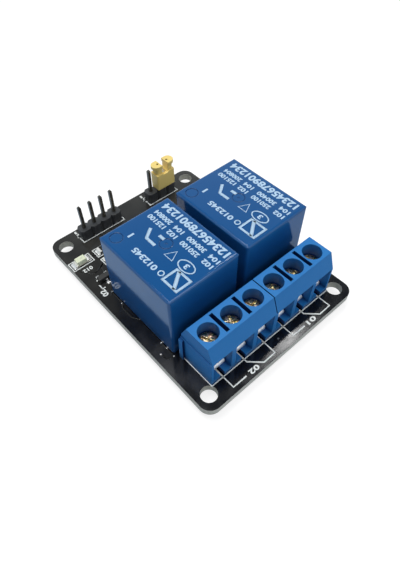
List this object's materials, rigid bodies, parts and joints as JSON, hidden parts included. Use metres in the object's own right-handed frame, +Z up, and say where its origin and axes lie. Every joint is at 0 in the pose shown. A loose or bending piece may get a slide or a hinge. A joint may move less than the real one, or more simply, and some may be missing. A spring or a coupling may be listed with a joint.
{
  "type": "relay module board",
  "caption": "Rectangular circuit board that carries blue sealed relays, screw terminal blocks, pin headers with a jumper, and small surface-mounted drive parts.",
  "frame": {"origin": "under the middle of the board, at the level of the trimmed lead tips that the module rests on", "axes": "+X along the terminal row, +Y from the screw terminals to the pin headers, +Z up, away from the board's component side"},
  "size_m": [0.0384, 0.0508, 0.0187],
  "materials": {
    "solder_mask": "gloss black solder mask on glass-epoxy board",
    "relay_plastic": "moulded, semi-gloss",
    "relay_base_plastic": "moulded, matte",
    "tinned_copper": "tin plated, satin",
    "solder": "bright solder",
    "terminal_plastic": "moulded, semi-gloss",
    "nickel_plate": "nickel plated, bright",
    "yellow_zinc": "yellow-passivated zinc plate",
    "header_plastic": "moulded, matte black",
    "pin_metal": "plated, satin",
    "jumper_plastic": "moulded, semi-gloss",
    "spring_metal": "plated spring strip",
    "led_base": "white laminate",
    "led_lens": "water-clear resin",
    "chip_ceramic": "glazed black film on ceramic",
    "package_plastic": "moulded epoxy, matte",
    "optocoupler_plastic": "moulded epoxy, matte"
  },
  "bodies": {
    "root": {"circuit_board": "solder_mask", "relay_case_left": "relay_plastic", "relay_case_right": "relay_plastic", "relay_base_left": "relay_base_plastic", "relay_base_right": "relay_base_plastic", "relay_leads_left": "tinned_copper", "relay_leads_right": "tinned_copper", "terminal_housing_left": "terminal_plastic", "terminal_housing_right": "terminal_plastic", "terminal_cages_left": "nickel_plate", "terminal_cages_right": "nickel_plate", "terminal_strips_left": "tinned_copper", "terminal_strips_right": "tinned_copper", "terminal_screws_left": "yellow_zinc", "terminal_screws_right": "yellow_zinc", "input_header_base": "header_plastic", "input_header_pins": "pin_metal", "power_header_base": "header_plastic", "power_header_pins": "pin_metal", "jumper_shell": "jumper_plastic", "jumper_contact": "spring_metal", "led_base_left": "led_base", "led_base_right": "led_base", "led_lens_left": "led_lens", "led_lens_right": "led_lens", "led_ends_left": "tinned_copper", "led_ends_right": "tinned_copper", "led_resistor_left": "chip_ceramic", "led_resistor_right": "chip_ceramic", "led_resistor_ends_left": "tinned_copper", "led_resistor_ends_right": "tinned_copper", "drive_resistor_left": "chip_ceramic", "drive_resistor_right": "chip_ceramic", "drive_resistor_ends_left": "tinned_copper", "drive_resistor_ends_right": "tinned_copper", "transistor_body_left": "package_plastic", "transistor_body_right": "package_plastic", "transistor_leads_left": "tinned_copper", "transistor_leads_right": "tinned_copper", "diode_body_left": "package_plastic", "diode_body_right": "package_plastic", "diode_leads_left": "tinned_copper", "diode_leads_right": "tinned_copper", "optocoupler_body_left": "optocoupler_plastic", "optocoupler_body_right": "optocoupler_plastic", "optocoupler_leads_left": "tinned_copper", "optocoupler_leads_right": "tinned_copper", "relay_solder_left": "solder", "relay_solder_right": "solder", "terminal_solder_left": "solder", "terminal_solder_right": "solder", "header_solder": "solder"}
  },
  "joints": []
}
